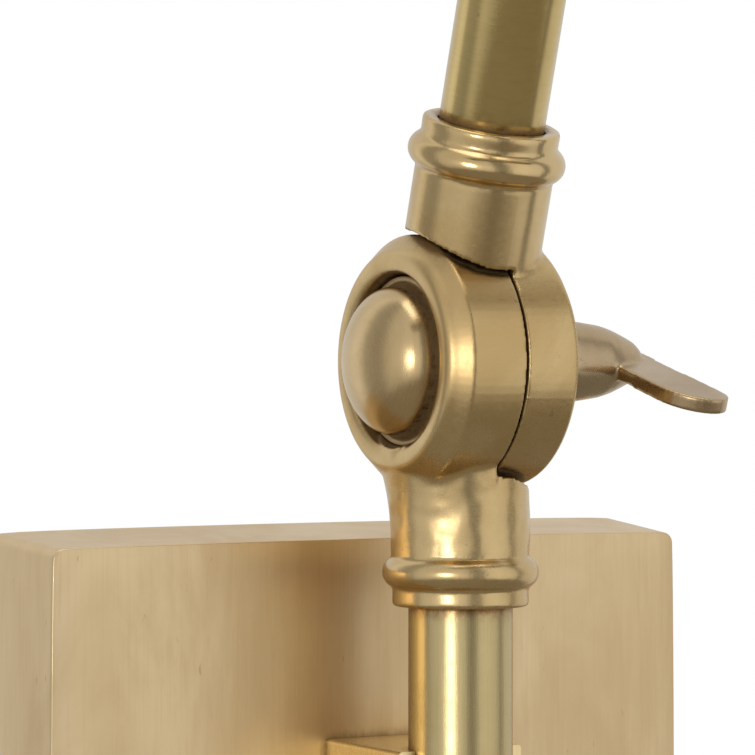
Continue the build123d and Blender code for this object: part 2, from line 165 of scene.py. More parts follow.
# ---------------------------------------------------------------- camera
CAMERA_AZIMUTH = math.radians(-30.3)
CAMERA_DISTANCE = 0.520
CAMERA_ASIDE = 12.7
CAMERA_BELOW = 2.5
FOCAL_IN_FRAMES = 4.50331
SENSOR = 36.0


def make_camera():
    side = Vector((math.cos(CAMERA_AZIMUTH), math.sin(CAMERA_AZIMUTH), 0))
    ahead = Vector((-math.sin(CAMERA_AZIMUTH), math.cos(CAMERA_AZIMUTH), 0))
    data = bpy.data.cameras.new("camera")
    data.sensor_width = SENSOR
    data.lens = FOCAL_IN_FRAMES * SENSOR
    data.clip_start = 0.01
    data.clip_end = 50
    camera = bpy.data.objects.new("camera", data)
    bpy.context.scene.collection.objects.link(camera)
    offset = side * CAMERA_ASIDE * MM + ahead * CAMERA_DISTANCE + Vector((0, 0, CAMERA_BELOW * MM))
    camera.location = post_pivot - offset
    camera.rotation_euler = (math.radians(90), 0, CAMERA_AZIMUTH)
    bpy.context.scene.camera = camera


make_camera()


# ---------------------------------------------------------------- studio
def soft_box(name, location, size, watts):
    """A rectangular lamp that faces the post's knuckle."""
    data = bpy.data.lights.new(name, "AREA")
    data.shape = "RECTANGLE"
    data.size, data.size_y = size
    data.energy = watts
    light = bpy.data.objects.new(name, data)
    bpy.context.scene.collection.objects.link(light)
    light.location = location
    light.rotation_euler = (post_pivot - Vector(location)).to_track_quat("-Z", "Y").to_euler()


STRIPS = [
    # degrees round from the camera, to the right, and how bright the room is there
    (-180, 0.74), (-136, 0.80), (-122, 1.0), (-114, 0.95), (-105, 0.46), (-84, 0.40), (-66, 0.78), (-20, 1.0),
    (8, 0.96), (17, 0.34), (31, 0.36), (40, 1.02), (60, 1.02), (72, 0.92), (88, 0.86),
    (94, 0.30), (100, 0.32), (108, 0.86), (180, 0.80),
]
HEIGHTS = [
    # degrees above the horizon, and how much of that brightness is left on the camera's side
    (-90, 0.24), (-50, 0.40), (-26, 0.60), (-12, 0.92), (2, 1.0), (25, 0.86), (50, 0.86), (90, 0.95),
]
SIDE_HEIGHTS = [
    # the same towards the sides and the back
    (-90, 0.2), (-50, 0.4), (-30, 0.80), (-8, 1.0), (40, 1.0), (90, 0.95),
]
CAMERA_SIDE = [
    # degrees round as in STRIPS, and how far HEIGHTS counts instead of SIDE_HEIGHTS
    (-180, 0), (-75, 0), (-40, 1), (28, 1), (60, 0), (180, 0),
]


def ramp_from(nodes, links, angle, table, reach):
    """Greys over an angle in radians, from a table in degrees that runs from -reach to reach."""
    scale = nodes.new("ShaderNodeMapRange")
    scale.inputs["From Min"].default_value = -math.radians(reach)
    scale.inputs["From Max"].default_value = math.radians(reach)
    links.new(angle, scale.inputs["Value"])
    ramp = nodes.new("ShaderNodeValToRGB")
    ramp.color_ramp.interpolation = "EASE"
    elements = ramp.color_ramp.elements
    for index, (degrees, grey) in enumerate(table):
        share = (degrees + reach) / (2 * reach)
        element = elements[index] if index < 2 else elements.new(share)
        element.position = share
        element.color = (grey, grey, grey, 1)
    links.new(scale.outputs[0], ramp.inputs[0])
    return ramp.outputs["Color"]


def make_world():
    """A studio room of bright walls and darker gaps, fixed in place; what the camera sees of it is white."""
    world = bpy.data.worlds.new("studio")
    bpy.context.scene.world = world
    world.use_nodes = True
    nodes, links = world.node_tree.nodes, world.node_tree.links
    nodes.clear()
    out = nodes.new("ShaderNodeOutputWorld")
    room = nodes.new("ShaderNodeBackground")
    white = nodes.new("ShaderNodeBackground")
    path = nodes.new("ShaderNodeLightPath")
    mix = nodes.new("ShaderNodeMixShader")
    where = nodes.new("ShaderNodeTexCoord")
    turn = nodes.new("ShaderNodeVectorRotate")
    turn.rotation_type = "Z_AXIS"
    turn.inputs["Angle"].default_value = -CAMERA_AZIMUTH
    split = nodes.new("ShaderNodeSeparateXYZ")
    toward = nodes.new("ShaderNodeMath")
    toward.operation = "MULTIPLY"
    toward.inputs[1].default_value = -1
    round_about = nodes.new("ShaderNodeMath")
    round_about.operation = "ARCTAN2"
    rise = nodes.new("ShaderNodeMath")
    rise.operation = "ARCSINE"
    both = nodes.new("ShaderNodeMix")
    both.data_type = "RGBA"
    both.blend_type = "MULTIPLY"
    both.inputs[0].default_value = 1
    links.new(where.outputs["Generated"], turn.inputs["Vector"])
    links.new(turn.outputs[0], split.inputs[0])
    links.new(split.outputs["Y"], toward.inputs[0])
    links.new(split.outputs["X"], round_about.inputs[0])
    links.new(toward.outputs[0], round_about.inputs[1])
    links.new(split.outputs["Z"], rise.inputs[0])
    strips = ramp_from(nodes, links, round_about.outputs[0], STRIPS, 180)
    heights = ramp_from(nodes, links, rise.outputs[0], HEIGHTS, 90)
    side_heights = ramp_from(nodes, links, rise.outputs[0], SIDE_HEIGHTS, 90)
    near_camera = ramp_from(nodes, links, round_about.outputs[0], CAMERA_SIDE, 180)
    chosen = nodes.new("ShaderNodeMix")
    chosen.data_type = "RGBA"
    links.new(near_camera, chosen.inputs[0])
    links.new(side_heights, chosen.inputs[6])
    links.new(heights, chosen.inputs[7])
    links.new(strips, both.inputs[6])
    links.new(chosen.outputs[2], both.inputs[7])
    links.new(both.outputs[2], room.inputs["Color"])
    room.inputs["Strength"].default_value = 0.92
    links.new(path.outputs["Is Camera Ray"], mix.inputs[0])
    links.new(room.outputs[0], mix.inputs[1])
    links.new(white.outputs[0], mix.inputs[2])
    white.inputs["Color"].default_value = (1, 1, 1, 1)
    links.new(mix.outputs[0], out.inputs[0])


make_world()
KEY_TURN = math.radians(53.3)
KEY_DISTANCE = 1.1
key_direction = Vector((-math.sin(KEY_TURN), -math.cos(KEY_TURN), 0.03))
soft_box("key", post_pivot + key_direction * KEY_DISTANCE, (0.30, 0.34), 1.7)
soft_box("top", (0.0, -0.2, 1.4), (0.8, 0.8), 3.5)
bpy.context.scene.view_settings.view_transform = "Standard"


def make_floor():
    """Pale round floor, which metal sees darker than the camera does."""
    deselect()
    bpy.ops.mesh.primitive_circle_add(vertices=96, radius=1.3, fill_type="NGON", location=(0, -0.3, -0.62))
    floor = named("floor")
    freeze(floor)
    material = bpy.data.materials.new("pale_floor")
    material.use_nodes = True
    nodes, links = material.node_tree.nodes, material.node_tree.links
    shader = nodes["Principled BSDF"]
    path = nodes.new("ShaderNodeLightPath")
    colour = nodes.new("ShaderNodeMix")
    colour.data_type = "RGBA"
    colour.inputs[6].default_value = (0.86, 0.85, 0.83, 1)
    colour.inputs[7].default_value = (0.33, 0.30, 0.25, 1)
    links.new(path.outputs["Is Glossy Ray"], colour.inputs[0])
    links.new(colour.outputs[2], shader.inputs["Base Color"])
    shader.inputs["Roughness"].default_value = 0.9
    floor.data.materials.append(material)


make_floor()


# ---------------------------------------------------------------- shader groups
def group(name, inputs, outputs):
    """An empty shader group with its sockets; returns it and its input and output nodes."""
    made = bpy.data.node_groups.new(name, "ShaderNodeTree")
    for label, kind in inputs:
        made.interface.new_socket(label, in_out="INPUT", socket_type=kind)
    for label, kind in outputs:
        made.interface.new_socket(label, in_out="OUTPUT", socket_type=kind)
    return made, made.nodes.new("NodeGroupInput"), made.nodes.new("NodeGroupOutput")


def noise(nodes, links, vector, scale, detail=4.0, rough=0.6, distort=0.0):
    made = nodes.new("ShaderNodeTexNoise")
    made.inputs["Scale"].default_value = scale
    made.inputs["Detail"].default_value = detail
    made.inputs["Roughness"].default_value = rough
    made.inputs["Distortion"].default_value = distort
    links.new(vector, made.inputs["Vector"])
    return made.outputs["Fac"]


def remap(nodes, links, value, low, high, out_low=0.0, out_high=1.0):
    made = nodes.new("ShaderNodeMapRange")
    made.interpolation_type = "SMOOTHSTEP"
    for label, number in (("From Min", low), ("From Max", high), ("To Min", out_low), ("To Max", out_high)):
        made.inputs[label].default_value = number
    links.new(value, made.inputs["Value"])
    return made.outputs[0]


def math_node(nodes, links, operation, first, second):
    made = nodes.new("ShaderNodeMath")
    made.operation = operation
    for index, value in enumerate((first, second)):
        if isinstance(value, (int, float)):
            made.inputs[index].default_value = value
        else:
            links.new(value, made.inputs[index])
    return made.outputs[0]


def blend_colours(nodes, links, fac, first, second, kind="MIX"):
    made = nodes.new("ShaderNodeMix")
    made.data_type = "RGBA"
    made.blend_type = kind
    for index, value in ((0, fac), (6, first), (7, second)):
        if isinstance(value, tuple):
            made.inputs[index].default_value = (*value, 1)
        elif isinstance(value, (int, float)):
            made.inputs[index].default_value = value
        else:
            links.new(value, made.inputs[index])
    return made.outputs[2]


def make_grain_group():
    """Brush marks on a vector that is already stretched: fine lines, and broader bands of them."""
    made, start, end = group("brush_marks", [("Vector", "NodeSocketVector")],
                             [("Fine", "NodeSocketFloat"), ("Bands", "NodeSocketFloat")])
    nodes, links = made.nodes, made.links
    vector = start.outputs["Vector"]
    fine = noise(nodes, links, vector, 5.0, 6.0, 0.7)
    coarse = noise(nodes, links, vector, 1.1, 3.0, 0.55)
    links.new(fine, end.inputs["Fine"])
    links.new(coarse, end.inputs["Bands"])
    return made


def make_blotch_group():
    """Soft uneven toning of old lacquered brass, and small dark spots, on millimetres."""
    made, start, end = group("toning", [("Vector", "NodeSocketVector")],
                             [("Cloud", "NodeSocketFloat"), ("Spots", "NodeSocketFloat"), ("Pits", "NodeSocketFloat")])
    nodes, links = made.nodes, made.links
    vector = start.outputs["Vector"]
    cloud = noise(nodes, links, vector, 0.045, 5.0, 0.62, 0.6)
    speckle = noise(nodes, links, vector, 0.55, 3.0, 0.5)
    pits = noise(nodes, links, vector, 1.9, 2.0, 0.5)
    links.new(cloud, end.inputs["Cloud"])
    links.new(remap(nodes, links, speckle, 0.70, 0.78), end.inputs["Spots"])
    links.new(remap(nodes, links, pits, 0.73, 0.80), end.inputs["Pits"])
    return made


def make_crevice_group():
    """How deep in a crevice a point lies, broken up by noise, on millimetres: the first output is painted shade deep
    in crevices, the second a band at their edges that is partly dust and partly painted shade.
    """
    made, start, end = group("crevice_dirt", [("Vector", "NodeSocketVector"), ("Reach", "NodeSocketFloat")],
                             [("Dark", "NodeSocketFloat"), ("Dust", "NodeSocketFloat")])
    nodes, links = made.nodes, made.links
    shade = nodes.new("ShaderNodeAmbientOcclusion")
    shade.samples = 8
    links.new(start.outputs["Reach"], shade.inputs["Distance"])
    deep = math_node(nodes, links, "SUBTRACT", 1.0, shade.outputs["AO"])
    broken = noise(nodes, links, start.outputs["Vector"], 0.9, 4.0, 0.65)
    lifted = math_node(nodes, links, "MULTIPLY", deep, remap(nodes, links, broken, 0.3, 0.7, 0.75, 1.2))
    # painted shade: the deeper in a crevice, the darker
    links.new(remap(nodes, links, lifted, 0.12, 0.55), end.inputs["Dark"])
    # band at a crevice's edge: partly dust, partly painted shade
    entering = remap(nodes, links, lifted, 0.36, 0.52)
    deepest = remap(nodes, links, lifted, 0.66, 0.80, 1.0, 0.0)
    links.new(math_node(nodes, links, "MULTIPLY", entering, deepest), end.inputs["Dust"])
    return made


GRAIN = make_grain_group()
TONING = make_blotch_group()
CREVICE = make_crevice_group()


def use_group(nodes, links, which, vector):
    made = nodes.new("ShaderNodeGroup")
    made.node_tree = which
    links.new(vector, made.inputs["Vector"])
    return made


def mapped(nodes, links, scale, turn=(0, 0, 0), centre=(0, 0, 0)):
    """Object coordinates about a centre in metres, turned, then scaled."""
    where = nodes.new("ShaderNodeTexCoord")
    shift = nodes.new("ShaderNodeMapping")
    shift.vector_type = "TEXTURE"
    shift.inputs["Location"].default_value = centre
    shift.inputs["Rotation"].default_value = turn
    links.new(where.outputs["Object"], shift.inputs["Vector"])
    stretch = nodes.new("ShaderNodeMapping")
    stretch.inputs["Scale"].default_value = scale
    links.new(shift.outputs[0], stretch.inputs["Vector"])
    return stretch.outputs[0]


def round_coordinates(nodes, links, turn, centre, around, across):
    """Coordinates for marks that run round the local Z axis: height and radius count, the angle barely does."""
    where = mapped(nodes, links, (1000, 1000, 1000), turn, centre)
    split = nodes.new("ShaderNodeSeparateXYZ")
    links.new(where, split.inputs[0])
    square_x = math_node(nodes, links, "MULTIPLY", split.outputs["X"], split.outputs["X"])
    square_y = math_node(nodes, links, "MULTIPLY", split.outputs["Y"], split.outputs["Y"])
    radius = math_node(nodes, links, "SQRT", math_node(nodes, links, "ADD", square_x, square_y), 0.0)
    angle = math_node(nodes, links, "ARCTAN2", split.outputs["Y"], split.outputs["X"])
    joined = nodes.new("ShaderNodeCombineXYZ")
    links.new(math_node(nodes, links, "MULTIPLY", radius, across), joined.inputs["X"])
    links.new(math_node(nodes, links, "MULTIPLY", angle, around), joined.inputs["Y"])
    links.new(math_node(nodes, links, "MULTIPLY", split.outputs["Z"], across), joined.inputs["Z"])
    return joined.outputs[0]


def brass(name, colour, rough, grain=(1, 1, 1), turn=(0, 0, 0), centre=(0, 0, 0), ring=None, grain_depth=0.05,
          cloud=0.25, dark=(0.25, 0.155, 0.06), dirt=0.8, dust=0.0, reach=2.5, bump=0.02, toning=(1, 1, 1),
          polished=None):
    """Worn satin brass. grain stretches the brush marks; ring makes them run round the local Z axis.
    polished lowers the roughness away from a knuckle's pivot: from and to in millimetres, and by how much."""
    material = bpy.data.materials.new(name)
    material.use_nodes = True
    nodes, links = material.node_tree.nodes, material.node_tree.links
    shader = nodes["Principled BSDF"]
    even = mapped(nodes, links, tuple(1000 * t for t in toning))
    if ring:
        stretched = round_coordinates(nodes, links, turn, centre, *ring)
    else:
        stretched = mapped(nodes, links, tuple(1000 * g for g in grain), turn, centre)
    marks = use_group(nodes, links, GRAIN, stretched)
    tone = use_group(nodes, links, TONING, even)
    crevice = use_group(nodes, links, CREVICE, even)
    crevice.inputs["Reach"].default_value = reach * MM
    duller = tuple(c * f for c, f in zip(colour, (0.82, 0.75, 0.64)))
    paler = tuple(min(1.0, c * f) for c, f in zip(colour, (1.10, 1.12, 1.20)))
    cloudy = remap(nodes, links, tone.outputs["Cloud"], 0.32, 0.68, 0.0, cloud * 2)
    base = blend_colours(nodes, links, cloudy, colour, duller)
    fine = remap(nodes, links, marks.outputs["Fine"], 0.35, 0.75, 0.0, grain_depth * 6)
    base = blend_colours(nodes, links, fine, base, paler)
    bands = remap(nodes, links, marks.outputs["Bands"], 0.42, 0.72, 0.0, grain_depth * 5)
    base = blend_colours(nodes, links, bands, base, duller)
    spots = math_node(nodes, links, "MULTIPLY", tone.outputs["Spots"], 0.35)
    base = blend_colours(nodes, links, spots, base, dark)
    # painted shade: crevices darkened towards the dark colour
    painted_shade = math_node(nodes, links, "MULTIPLY", crevice.outputs["Dark"], dirt)
    base = blend_colours(nodes, links, painted_shade, base, dark)
    # brown band at crevice edges, partly dust and partly painted shade
    dust_and_shade_mix = math_node(nodes, links, "MULTIPLY", crevice.outputs["Dust"], dust)
    base = blend_colours(nodes, links, dust_and_shade_mix, base, (0.42, 0.30, 0.15))
    links.new(base, shader.inputs["Base Color"])
    # the painted shade and the dust also make the metal less metallic and rougher
    shade_and_dust_cover = math_node(nodes, links, "ADD", math_node(nodes, links, "MULTIPLY", painted_shade, 0.12),
                        math_node(nodes, links, "MULTIPLY", dust_and_shade_mix, 0.55))
    links.new(remap(nodes, links, shade_and_dust_cover, 0.0, 1.0, 1.0, 0.1), shader.inputs["Metallic"])
    wander = math_node(nodes, links, "MULTIPLY", math_node(nodes, links, "SUBTRACT", tone.outputs["Cloud"], 0.5), 0.22)
    streak = math_node(nodes, links, "MULTIPLY", math_node(nodes, links, "SUBTRACT", marks.outputs["Fine"], 0.5), 0.25)
    roughness = math_node(nodes, links, "ADD", math_node(nodes, links, "ADD", wander, streak), rough)
    roughness = math_node(nodes, links, "ADD", roughness, math_node(nodes, links, "MULTIPLY", shade_and_dust_cover, 0.4))
    if polished:
        off_axis = nodes.new("ShaderNodeVectorMath")
        off_axis.operation = "LENGTH"
        links.new(mapped(nodes, links, (0, 1000, 1000), turn, centre), off_axis.inputs[0])
        lowered = remap(nodes, links, off_axis.outputs["Value"], polished[0], polished[1], 0.0, polished[2])
        roughness = math_node(nodes, links, "SUBTRACT", roughness, lowered)
    links.new(roughness, shader.inputs["Roughness"])
    height = math_node(nodes, links, "MULTIPLY", marks.outputs["Fine"], 1.0)
    height = math_node(nodes, links, "ADD", height, math_node(nodes, links, "MULTIPLY", marks.outputs["Bands"], 1.5))
    pitted = math_node(nodes, links, "MULTIPLY", tone.outputs["Pits"], 2.0)
    height = math_node(nodes, links, "SUBTRACT", height, pitted)
    lift = nodes.new("ShaderNodeBump")
    lift.inputs["Strength"].default_value = 0.5
    lift.inputs["Distance"].default_value = bump * MM
    links.new(height, lift.inputs["Height"])
    links.new(lift.outputs[0], shader.inputs["Normal"])
    return material


LEANING = (arm_lean, 0, 0)
SIDEWAYS = (0, math.radians(90), 0)
STEM_TURN = arm_lean + math.radians(ELBOW_BEND)

# The crevice weights below set how much painted shade each brass gets in its crevices.
PLATE = brass("plate_satin", (0.76, 0.585, 0.345), 0.40, grain=(2.4, 2.4, 0.05), cloud=0.30, dirt=0.6,
              grain_depth=0.040, bump=0.012, toning=(1.5, 1.5, 0.45))
BLOCK = brass("block_satin", (0.93, 0.74, 0.40), 0.30, grain=(2.4, 2.4, 0.06), cloud=0.2, dirt=0.6, bump=0.012)
# the post's reddish dark colour and long reach paint the shade under the knuckle's collar as a ring
POST = brass("post_drawn", (0.56, 0.45, 0.225), 0.25, grain=(3.0, 3.0, 0.04), cloud=0.22, dirt=0.95,
             dark=(0.24, 0.11, 0.04), reach=5.0, bump=0.010, grain_depth=0.05)
ARM = brass("arm_brushed", (0.66, 0.505, 0.215), 0.18, ring=(0.6, 2.2), turn=LEANING, centre=tuple(post_pivot),
            cloud=0.28, dirt=0.9, dust=0.6, reach=4.0, bump=0.014)
STEM = brass("stem_brushed", (0.64, 0.49, 0.205), 0.18, ring=(0.6, 2.2), turn=(STEM_TURN, 0, 0),
             centre=tuple(elbow_pivot), cloud=0.28, dirt=0.9, bump=0.014)
CAST, CAST_ARM, CAST_HIGH = (
    brass(name, (0.66, 0.49, 0.245), 0.31, grain=(0.25, 0.5, 0.5), cloud=0.42, dirt=0.95, dust=0.4, centre=pivot,
          reach=4.0, grain_depth=0.03, bump=0.008, polished=(18.0, 21.0, lower))
    for name, pivot, lower in (
        ("cast_satin_post", tuple(post_pivot), 0.05),
        ("cast_satin_arm", tuple(post_pivot), 0.10),
        ("cast_satin_high", tuple(elbow_pivot), 0.08),
    )
)
TURNED = brass("turned_satin_low", (0.66, 0.50, 0.27), 0.23, ring=(0.8, 1.6), turn=SIDEWAYS,
               centre=tuple(post_pivot), cloud=0.34, dirt=0.85, dust=0.5, reach=4.5, bump=0.014)
TURNED_HIGH = brass("turned_satin_high", (0.66, 0.50, 0.27), 0.23, ring=(0.8, 1.6), turn=SIDEWAYS,
                    centre=tuple(elbow_pivot), cloud=0.34, dirt=0.85, dust=0.5, reach=4.5, bump=0.014)
# the long reach paints shade over much of the nut's hub beside the knuckle
NUT = brass("nut_filed", (0.53, 0.405, 0.25), 0.29, grain=(0.3, 0.8, 0.8), cloud=0.5, dirt=0.95, reach=7.0,
            grain_depth=0.03, bump=0.010)
PLAIN = brass("plain_machined", (0.70, 0.54, 0.28), 0.25, grain=(1.5, 1.5, 1.5), cloud=0.2, dirt=0.6)
SHEET = brass("sheet_satin", (0.69, 0.51, 0.28), 0.34, grain=(0.05, 2.4, 2.4), cloud=0.30, dirt=0.5, bump=0.012)


def plain(name, colour, rough, metal=0.0, grain=(1, 1, 1), clouded=0.2, bump=0.01, darker=0.6):
    """Zinc, aluminium, plastic or porcelain with its own fine unevenness."""
    material = bpy.data.materials.new(name)
    material.use_nodes = True
    nodes, links = material.node_tree.nodes, material.node_tree.links
    shader = nodes["Principled BSDF"]
    even = mapped(nodes, links, (1000, 1000, 1000))
    marks = use_group(nodes, links, GRAIN, mapped(nodes, links, tuple(1000 * g for g in grain)))
    tone = use_group(nodes, links, TONING, even)
    crevice = use_group(nodes, links, CREVICE, even)
    crevice.inputs["Reach"].default_value = 2 * MM
    shaded = tuple(c * darker for c in colour)
    cloudy = remap(nodes, links, tone.outputs["Cloud"], 0.35, 0.7, 0.0, clouded)
    base = blend_colours(nodes, links, cloudy, colour, shaded)
    fine = remap(nodes, links, marks.outputs["Fine"], 0.4, 0.75, 0.0, clouded * 0.7)
    base = blend_colours(nodes, links, fine, base, shaded)
    # painted shade: crevices darkened towards a deeper copy of the colour
    painted_shade = math_node(nodes, links, "MULTIPLY", crevice.outputs["Dark"], 0.6)
    base = blend_colours(nodes, links, painted_shade, base, tuple(c * 0.35 for c in colour))
    links.new(base, shader.inputs["Base Color"])
    shader.inputs["Metallic"].default_value = metal
    wander = math_node(nodes, links, "MULTIPLY", math_node(nodes, links, "SUBTRACT", marks.outputs["Bands"], 0.5), 0.3)
    links.new(math_node(nodes, links, "ADD", wander, rough), shader.inputs["Roughness"])
    lift = nodes.new("ShaderNodeBump")
    lift.inputs["Strength"].default_value = 0.5
    lift.inputs["Distance"].default_value = bump * MM
    links.new(marks.outputs["Fine"], lift.inputs["Height"])
    links.new(lift.outputs[0], shader.inputs["Normal"])
    return material


ZINC = plain("zinc_plating", (0.62, 0.61, 0.58), 0.34, metal=1.0, grain=(1.2, 1.2, 1.2))
REFLECTOR = plain("bright_sheet", (0.88, 0.88, 0.87), 0.16, metal=1.0, grain=(0.04, 2, 2), clouded=0.08)
PLASTIC = plain("ivory_plastic", (0.80, 0.78, 0.70), 0.42, clouded=0.12, darker=0.8)
CERAMIC = plain("porcelain", (0.86, 0.84, 0.78), 0.30, clouded=0.12, darker=0.82)


def frosted_glass():
    """The lamps' glass, white inside."""
    material = plain("frosted_glass", (0.93, 0.92, 0.88), 0.45, clouded=0.06, darker=0.9)
    shader = material.node_tree.nodes["Principled BSDF"]
    shader.inputs["Transmission Weight"].default_value = 0.55
    return material


GLASS = frosted_glass()
SLOT_MATERIALS = {
    "plate_brass": PLATE, "block_brass": BLOCK, "post_brass": POST, "tube_brass": ARM, "cast_brass": CAST,
    "turned_brass": TURNED, "nut_brass": NUT, "plain_brass": PLAIN, "sheet_brass": SHEET,
    "reflector": REFLECTOR, "zinc_steel": ZINC, "terminal_plastic": PLASTIC, "holder_ceramic": CERAMIC,
    "lamp_glass": GLASS,
}
for part in frame["record"]["subparts"]:
    node = frame["nodes"][part["node"]]
    node.data.materials.clear()
    node.data.materials.append(SLOT_MATERIALS[part["material_slot"]])


def finish_piece(piece, material, body, stands_for, degrees=None):
    """Shade, paint and hang a finished piece on its body, in place of its nodes."""
    if degrees is None:
        pick(piece)
        bpy.ops.object.shade_smooth()
    else:
        smooth(piece, degrees)
    piece.data.materials.clear()
    piece.data.materials.append(material)
    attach(piece, body)
    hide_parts(*stands_for)
    deselect()
    return piece


# ---------------------------------------------------------------- knuckle castings
DISC_RADIUS = 19.2
SOCKET_RADIUS = 10.5
SOCKET_END = 37.4
SEAT_START = 21.4
SOCKET_SHIFT = 1.2
BEAD = (9.5, 5.2, 2.5)


def beaded_socket(name, start):
    """Round socket up to SOCKET_END with its bead, a bored seat and a soft mouth."""
    bead_centre = SOCKET_END - BEAD[1]
    bead = arc((BEAD[0], bead_centre), BEAD[2], 58, -58, 14)
    outline = [(8.06, SEAT_START), (8.06, SOCKET_END - 0.5), (8.5, SOCKET_END)]
    outline += [(9.9, SOCKET_END), (10.3, SOCKET_END - 0.15), (10.45, SOCKET_END - 0.6)]
    outline += [(10.4, bead_centre + 2.6), (10.55, bead_centre + 2.3)] + bead
    outline += [(10.55, bead_centre - 2.3), (10.45, bead_centre - 2.6), (SOCKET_RADIUS, bead_centre - 3.2)]
    outline += [(SOCKET_RADIUS, start)]
    return turned(name, outline)


def swing_cutter(radius, low, high):
    cutter = turned("swing", [(radius, low), (radius, high)], 128)
    return place(cutter, TO_PLUS_X)


def cast(piece, fine, rounds, near, extra, uneven=None):
    """Give a joined solid the soft edges of a casting.

    fine is the mesh size in mm and rounds the smoothing passes all over. near(point) weighs extra passes, and
    uneven(point) weighs the waves left by hand finishing; both take a point in mm.
    """
    apply_modifier(piece, "REMESH", mode="VOXEL", voxel_size=fine * MM, use_smooth_shade=True)
    apply_modifier(piece, "SMOOTH", factor=0.5, iterations=rounds)
    if extra:
        soft = piece.vertex_groups.new(name="fillet")
        for vertex in piece.data.vertices:
            weight = near(vertex.co / MM)
            if weight > 0:
                soft.add([vertex.index], weight, "REPLACE")
        apply_modifier(piece, "SMOOTH", factor=0.5, iterations=extra, vertex_group="fillet")
        piece.vertex_groups.remove(piece.vertex_groups["fillet"])
    if uneven:
        waves = bpy.data.textures.new("hand_finish", "CLOUDS")
        waves.noise_scale = 8 * MM
        hand = piece.vertex_groups.new(name="hand")
        for vertex in piece.data.vertices:
            weight = uneven(vertex.co / MM)
            if weight > 0:
                hand.add([vertex.index], weight, "REPLACE")
        apply_modifier(piece, "DISPLACE", texture=waves, texture_coords="LOCAL", strength=0.5 * MM,
                       mid_level=0.5, vertex_group="hand")
        piece.vertex_groups.remove(piece.vertex_groups["hand"])
    return piece


def bolt_casting():
    """Disc towards -X with the recess for the domed bolt, and a socket along -Z."""
    socket = beaded_socket("bolt_casting", 9.0)
    place(socket, UPSIDE_DOWN)
    flare = [(10.4, -30), (10.5, -26.5), (10.65, -23.5), (11.05, -20.6), (11.6, -17.6), (11.95, -15), (12.0, -9)]
    neck = turned("neck", flare)
    place(neck, Matrix.Translation((-0.5 * MM, 0, 0)) @ Matrix.Diagonal((1.0, 0.93, 1.0, 1.0)))
    join_solid(neck, swing_cutter(60, -0.2, 40), "DIFFERENCE")
    join_solid(socket, swing_cutter(20.2, -0.2, 30), "DIFFERENCE")
    join_solid(socket, neck)
    rim = [(DISC_RADIUS, 0.2), (DISC_RADIUS, 4.0), (DISC_RADIUS, 9.1), (19.1, 9.35), (18.25, 10.3), (17.6, 11.0)]
    ridge = [(17.1, 11.65), (16.7, 12.1), (16.1, 12.4), (15.3, 12.45), (14.1, 12.35), (13.5, 12.0), (13.0, 8.6)]
    disc = place(turned("disc", rim + ridge), TO_MINUS_X)
    recess = place(turned("recess", [(12.9, 8.6), (12.95, 11.0), (13.1, 11.9), (13.5, 14), (13.5, 40)]), TO_MINUS_X)
    join_solid(socket, disc)
    join_solid(socket, recess, "DIFFERENCE")
    join_solid(socket, place(turned("seat", [(8.06, SEAT_START), (8.06, 60)]), UPSIDE_DOWN), "DIFFERENCE")

    def wavy(co):
        below = -co.z
        return max(0.0, min(1.0, (below - 15) / 4, (29.4 - below) / 2)) if co.x < 9.5 else 0.0

    def fillet(co):
        below = -co.z
        outside = (co.y * co.y + co.z * co.z) ** 0.5
        if below < 12 or below > 27 or co.x > -0.6 or outside < 16.6:
            return 0.0
        return min(1.0, (below - 12) / 3, (27 - below) / 3, (outside - 16.6) / 1.5, (-0.6 - co.x) / 1.5)

    return cast(socket, 0.29, 2, fillet, 30, wavy)


def nut_casting():
    """Plain disc towards +X and a socket along +Z that is set over towards the split."""
    socket = beaded_socket("nut_casting", 9.0)
    place(socket, Matrix.Translation((-SOCKET_SHIFT * MM, 0, 0)))
    join_solid(socket, swing_cutter(20.0, -40, 0.2), "DIFFERENCE")
    disc = turned("disc", [(DISC_RADIUS, 0.2), (DISC_RADIUS, 4.0), (DISC_RADIUS, 8.6), (18.95, 9.1), (18.5, 9.3)])
    join_solid(socket, place(disc, TO_PLUS_X))
    join_solid(socket, place(turned("seat", [(8.06, SEAT_START), (8.06, 60)]),
                             Matrix.Translation((-SOCKET_SHIFT * MM, 0, 0))), "DIFFERENCE")

    def fillet(co):
        if co.z < 12 or co.z > 25 or co.x < 0.8:
            return 0.0
        return min(1.0, (co.z - 12) / 3, (25 - co.z) / 3)

    return cast(socket, 0.30, 2, fillet, 20)


def copy_of(piece, name):
    pick(piece)
    bpy.ops.object.duplicate()
    return named(name)


post_place = Matrix.Translation(post_pivot)
arm_place = post_place @ Matrix.Rotation(arm_lean, 4, "X")
elbow_place = Matrix.Translation(elbow_pivot) @ Matrix.Rotation(arm_lean, 4, "X")
stem_place = elbow_place @ about_x(ELBOW_BEND)

bolt_side = bolt_casting()
shade_side = copy_of(bolt_side, "shade_casting")
place(bolt_side, post_place).name = "post_casting"
place(shade_side, stem_place @ UPSIDE_DOWN)
nut_side = nut_casting()
upper_side = copy_of(nut_side, "arm_upper_casting")
place(nut_side, arm_place).name = "arm_lower_casting"
place(upper_side, elbow_place @ UPSIDE_DOWN)
finish_piece(bolt_side, CAST, "wall", ["post_knuckle"])
finish_piece(nut_side, CAST_ARM, "arm", ["arm_lower_knuckle"])
finish_piece(upper_side, CAST_HIGH, "arm", ["arm_upper_knuckle"])
finish_piece(shade_side, CAST_HIGH, "shade", ["shade_knuckle"])


